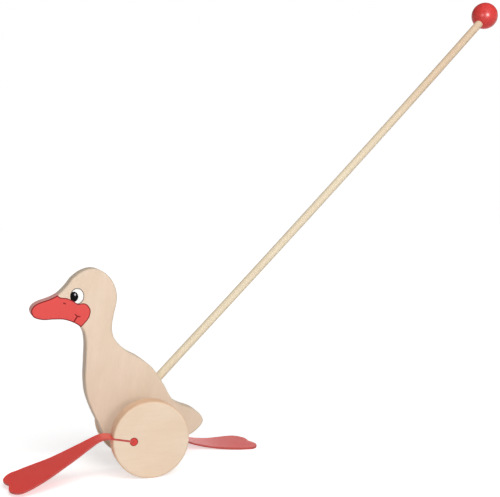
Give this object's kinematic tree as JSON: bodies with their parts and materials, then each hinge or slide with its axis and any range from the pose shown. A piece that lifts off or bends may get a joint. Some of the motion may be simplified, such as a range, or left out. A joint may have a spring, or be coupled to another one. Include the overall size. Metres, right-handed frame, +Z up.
{
  "type": "push toy",
  "caption": "Flat wooden duck on wheels with flexible strap feet that flap as the wheels turn, pushed by a long slanting rod with a round knob.",
  "frame": {"origin": "on the floor, under the middle of the axle", "axes": "+X towards the tail and the knob, +Y towards the duck's right side along the axle, +Z up"},
  "size_m": [0.586, 0.1494, 0.5203],
  "materials": {
    "board_wood": "pale lime or birch board, sanded smooth",
    "dowel_wood": "pale beech dowel, clear lacquer",
    "wheel_wood": "pale beech, sanded smooth",
    "knob_red": "gloss red lacquer on wood",
    "peg_red": "red stained wood",
    "foot_red": "matt red flexible strap",
    "print_red": "satin red print",
    "print_white": "satin white print",
    "print_black": "satin black print"
  },
  "bodies": {
    "duck": {"duck_body": "board_wood", "push_rod": "dowel_wood", "knob": "knob_red", "left_beak_print": "print_red", "right_beak_print": "print_red", "left_eye_white": "print_white", "right_eye_white": "print_white", "left_pupil": "print_black", "right_pupil": "print_black"},
    "wheelset": {"axle": "dowel_wood", "left_wheel": "wheel_wood", "right_wheel": "wheel_wood", "left_spacer": "wheel_wood", "right_spacer": "wheel_wood", "left_peg": "peg_red", "right_peg": "peg_red", "left_foot_root": "foot_red", "right_foot_root": "foot_red"},
    "left_foot": {"left_foot_blade": "foot_red"},
    "right_foot": {"right_foot_blade": "foot_red"}
  },
  "joints": [
    {"name": "wheelset_spin", "type": "hinge", "parent": "duck", "child": "wheelset", "pos_m": [0, 0, 0.04], "axis": [0, 1, 0], "continuous": true},
    {"name": "left_foot_flex", "type": "hinge", "parent": "wheelset", "child": "left_foot", "pos_m": [-0.04141, -0.047, 0.04487], "axis": [0, 1, 0], "range_deg": [-60, 60], "stiffness_Nm_per_rad": 0.04, "springref_deg": 8.88},
    {"name": "right_foot_flex", "type": "hinge", "parent": "wheelset", "child": "right_foot", "pos_m": [0.03741, 0.047, 0.02159], "axis": [0, 1, 0], "range_deg": [-60, 60], "stiffness_Nm_per_rad": 0.04, "springref_deg": -9.17}
  ]
}
